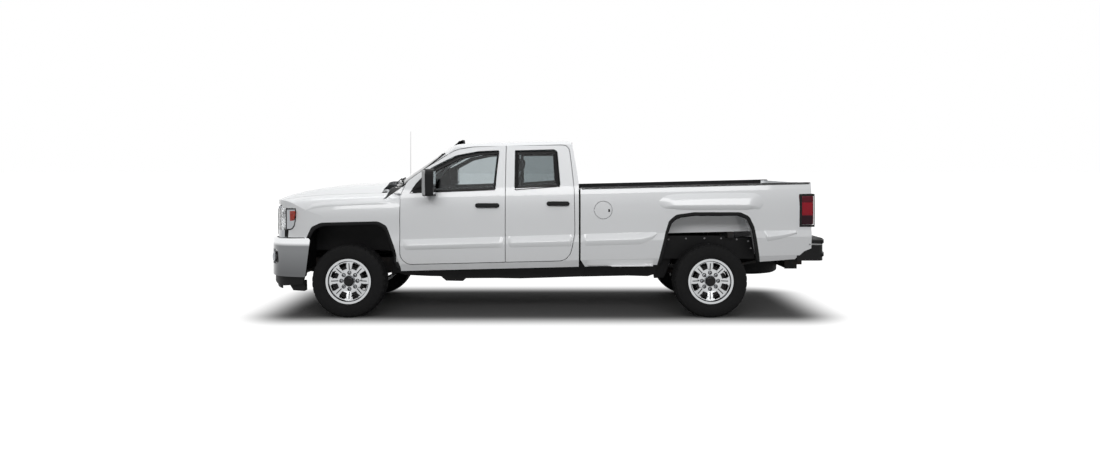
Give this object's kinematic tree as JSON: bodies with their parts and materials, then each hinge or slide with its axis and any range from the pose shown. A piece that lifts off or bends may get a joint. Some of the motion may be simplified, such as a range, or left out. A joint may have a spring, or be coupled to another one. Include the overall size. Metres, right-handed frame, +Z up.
{
  "type": "pickup truck",
  "caption": "Full-size pickup truck with four-door cab, long load bed, tow mirrors and heavy-duty wheels.",
  "frame": {"origin": "on the ground under the middle of the overall length", "axes": "+X towards the tailgate, +Y towards the passenger side (right), +Z up"},
  "size_m": [6.3354, 2.558, 2.1483],
  "materials": {
    "white_paint": "gloss",
    "chrome": "polished",
    "wheel_chrome": "polished",
    "black_plastic": "textured",
    "dark_steel": "matt",
    "steel": "satin",
    "rubber": "matt",
    "glass": "clear",
    "lamp": "clear",
    "red_lamp": "gloss",
    "seat_cloth": "woven",
    "cabin_plastic": "textured"
  },
  "bodies": {
    "chassis": {"air_dam": "black_plastic", "antennas": "black_plastic", "bed_rail_caps": "black_plastic", "bed_tub": "white_paint", "bedsides": "white_paint", "cab_floor": "white_paint", "cab_roof": "white_paint", "cab_sides": "white_paint", "centre_console": "cabin_plastic", "dashboard": "cabin_plastic", "door_hinges": "dark_steel", "driveline": "dark_steel", "engine": "dark_steel", "exhaust": "steel", "frame_rails": "dark_steel", "front_bumper": "chrome", "front_fenders": "white_paint", "front_seats": "seat_cloth", "front_suspension": "dark_steel", "front_wheel_liners": "black_plastic", "fuel_tank": "cabin_plastic", "grille": "chrome", "headlights": "lamp", "hitch_receiver": "dark_steel", "leaf_springs": "dark_steel", "rear_axle": "dark_steel", "rear_bench": "seat_cloth", "rear_bumper": "black_plastic", "rear_wheel_liners": "black_plastic", "rear_window": "glass", "spare_wheel": "rubber", "steering_wheel": "cabin_plastic", "tail_lights": "red_lamp", "windscreen": "glass"},
    "hood": {"hood": "white_paint"},
    "tailgate": {"tailgate": "white_paint"},
    "fuel_door": {"fuel_door": "white_paint"},
    "door_front_left": {"door_front_left": "white_paint", "window_front_left": "glass", "mirror_left": "black_plastic"},
    "door_front_right": {"door_front_right": "white_paint", "window_front_right": "glass", "mirror_right": "black_plastic"},
    "door_rear_left": {"door_rear_left": "white_paint", "window_rear_left": "glass"},
    "door_rear_right": {"door_rear_right": "white_paint", "window_rear_right": "glass"},
    "knuckle_left": {"knuckle_left": "steel"},
    "knuckle_right": {"knuckle_right": "steel"},
    "wheel_front_left": {"tyre_front_left": "rubber", "rim_front_left": "wheel_chrome"},
    "wheel_front_right": {"tyre_front_right": "rubber", "rim_front_right": "wheel_chrome"},
    "wheel_rear_left": {"tyre_rear_left": "rubber", "rim_rear_left": "wheel_chrome"},
    "wheel_rear_right": {"tyre_rear_right": "rubber", "rim_rear_right": "wheel_chrome"}
  },
  "joints": [
    {"name": "hood_hinge", "type": "hinge", "parent": "chassis", "child": "hood", "pos_m": [-1.788, 0, 1.41274], "axis": [0, 1, 0], "range_deg": [0, 50]},
    {"name": "tailgate_hinge", "type": "hinge", "parent": "chassis", "child": "tailgate", "pos_m": [2.9265, 0, 0.94041], "axis": [0, 1, 0], "range_deg": [0, 90]},
    {"name": "fuel_door_hinge", "type": "hinge", "parent": "chassis", "child": "fuel_door", "pos_m": [0.55758, -1.00211, 1.20184], "axis": [0, 0, 1], "range_deg": [-80, 0]},
    {"name": "door_front_left_hinge", "type": "hinge", "parent": "chassis", "child": "door_front_left", "pos_m": [-1.5395, -0.994, 0.93608], "axis": [0, 0, 1], "range_deg": [-66, 0]},
    {"name": "door_rear_left_hinge", "type": "hinge", "parent": "chassis", "child": "door_rear_left", "pos_m": [-0.37415, -0.994, 0.96347], "axis": [0, 0, 1], "range_deg": [-70, 0]},
    {"name": "door_front_right_hinge", "type": "hinge", "parent": "chassis", "child": "door_front_right", "pos_m": [-1.5395, 0.994, 0.93608], "axis": [0, 0, 1], "range_deg": [0, 66]},
    {"name": "door_rear_right_hinge", "type": "hinge", "parent": "chassis", "child": "door_rear_right", "pos_m": [-0.37415, 0.994, 0.96347], "axis": [0, 0, 1], "range_deg": [0, 70]},
    {"name": "steer_left", "type": "hinge", "parent": "chassis", "child": "knuckle_left", "pos_m": [-2.1675, -0.79, 0.41], "axis": [0, 0, 1], "range_deg": [-33, 33]},
    {"name": "steer_right", "type": "hinge", "parent": "chassis", "child": "knuckle_right", "pos_m": [-2.1675, 0.79, 0.41], "axis": [0, 0, 1], "range_deg": [-33, 33]},
    {"name": "wheel_front_left_spin", "type": "hinge", "parent": "knuckle_left", "child": "wheel_front_left", "pos_m": [-2.1675, -0.87, 0.41], "axis": [0, 1, 0], "continuous": true},
    {"name": "wheel_front_right_spin", "type": "hinge", "parent": "knuckle_right", "child": "wheel_front_right", "pos_m": [-2.1675, 0.87, 0.41], "axis": [0, 1, 0], "continuous": true},
    {"name": "wheel_rear_left_spin", "type": "hinge", "parent": "chassis", "child": "wheel_rear_left", "pos_m": [1.8485, -0.87, 0.41], "axis": [0, 1, 0], "continuous": true},
    {"name": "wheel_rear_right_spin", "type": "hinge", "parent": "chassis", "child": "wheel_rear_right", "pos_m": [1.8485, 0.87, 0.41], "axis": [0, 1, 0], "continuous": true}
  ],
  "couplings": [
    {"joint": "steer_right", "follows": "steer_left", "ratio": 1}
  ]
}
